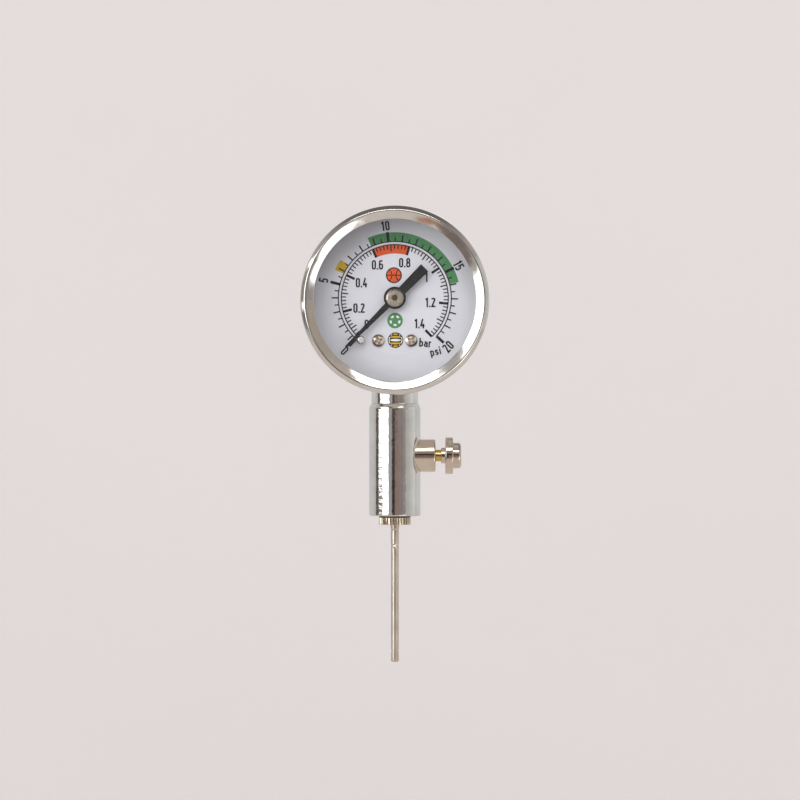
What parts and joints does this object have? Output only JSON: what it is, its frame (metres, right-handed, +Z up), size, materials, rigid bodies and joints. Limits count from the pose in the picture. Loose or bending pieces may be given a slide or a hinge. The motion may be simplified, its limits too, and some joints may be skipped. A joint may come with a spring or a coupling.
{
  "type": "ball pressure gauge",
  "caption": "Small dial gauge for checking ball pressure: chrome case on a tubular stem, push-button bleed valve on its side and a screw-in needle with a knurled collar.",
  "frame": {"origin": "centre of the knurled collar's underside, where the gauge seats on a ball's valve", "axes": "+Z up the stem to the dial, the dial faces -Y, the bleed valve points along +X"},
  "size_m": [0.04, 0.022, 0.0973],
  "materials": {
    "chrome": "bright plated, light handling marks",
    "nickel": "warm nickel plate, turned",
    "brass": "turned or stamped, satin",
    "bronze": "drawn phosphor bronze",
    "steel": "turned, satin",
    "dial_face": "white enamel, printed scale",
    "pointer_paint": "satin black",
    "rubber": "moulded",
    "lens": "clear, polished"
  },
  "bodies": {
    "gauge": {"case": "chrome", "bezel": "chrome", "lens": "lens", "lens_gasket": "rubber", "dial_plate": "dial_face", "dial_screw_left": "nickel", "dial_screw_right": "nickel", "zero_stop_pin": "steel", "hairspring": "bronze", "hairspring_stud": "brass", "movement_front_plate": "brass", "movement_back_plate": "brass", "movement_pillar_left": "brass", "movement_pillar_right": "brass", "movement_pillar_lower": "brass", "movement_screw_left": "steel", "movement_screw_right": "steel", "bourdon_tube": "bronze", "socket": "brass", "socket_seal": "rubber", "stem_body": "chrome", "stem_neck": "chrome", "valve_body": "nickel", "valve_sleeve": "brass", "valve_spring": "steel"},
    "pointer_assembly": {"pointer": "pointer_paint", "pointer_bushing": "nickel", "pinion_arbor": "steel"},
    "sector": {"sector_gear": "brass", "sector_arbor": "steel", "sector_link_pin": "steel"},
    "tube_end": {"tube_tip": "brass", "tip_link_pin": "steel"},
    "link_bar": {"link": "brass"},
    "bleed_valve": {"valve_stem": "brass", "valve_seal": "rubber", "valve_button": "nickel"},
    "needle_thread": {"needle_seal": "rubber"},
    "needle": {"needle_collar": "nickel", "needle_tube": "nickel"}
  },
  "joints": [
    {"name": "pointer_turn", "type": "hinge", "parent": "gauge", "child": "pointer_assembly", "pos_m": [0, -0.0015, 0.0484], "axis": [0, 1, 0], "range_deg": [0, 270], "stiffness_Nm_per_rad": 0.00002, "springref_deg": -45.84, "deforming": ["hairspring"]},
    {"name": "sector_turn", "type": "hinge", "parent": "gauge", "child": "sector", "pos_m": [0, -0.0015, 0.0384], "axis": [0, 1, 0], "range_deg": [-30, 0]},
    {"name": "tube_end_flex", "type": "hinge", "parent": "gauge", "child": "tube_end", "pos_m": [-0.00147, -0.0015, 0.05204], "axis": [0, 1, 0], "range_deg": [-9.5, 0], "deforming": ["bourdon_tube"]},
    {"name": "link_swing", "type": "hinge", "parent": "tube_end", "child": "link_bar", "pos_m": [0.0106, -0.0015, 0.0434], "axis": [0, 1, 0], "range_deg": [0, 12.3]},
    {"name": "valve_press", "type": "slide", "parent": "gauge", "child": "bleed_valve", "axis": [-1, 0, 0], "range_m": [0, 0.0016], "stiffness_N_per_m": 600, "springref_m": -0.0008, "deforming": ["valve_spring"]},
    {"name": "needle_travel", "type": "slide", "parent": "gauge", "child": "needle_thread", "axis": [0, 0, -1], "range_m": [0, 0.0048]},
    {"name": "needle_turn", "type": "hinge", "parent": "needle_thread", "child": "needle", "pos_m": [0, 0, 0], "axis": [0, 0, -1], "range_deg": [0, 2160]}
  ],
  "couplings": [
    {"joint": "sector_turn", "follows": "pointer_turn", "ratio": -0.11111},
    {"joint": "tube_end_flex", "follows": "pointer_turn", "ratio": -0.03512},
    {"joint": "link_swing", "follows": "pointer_turn", "ratio": 0.045411},
    {"joint": "needle_turn", "follows": "needle_travel", "rad_per_m": 7854}
  ]
}
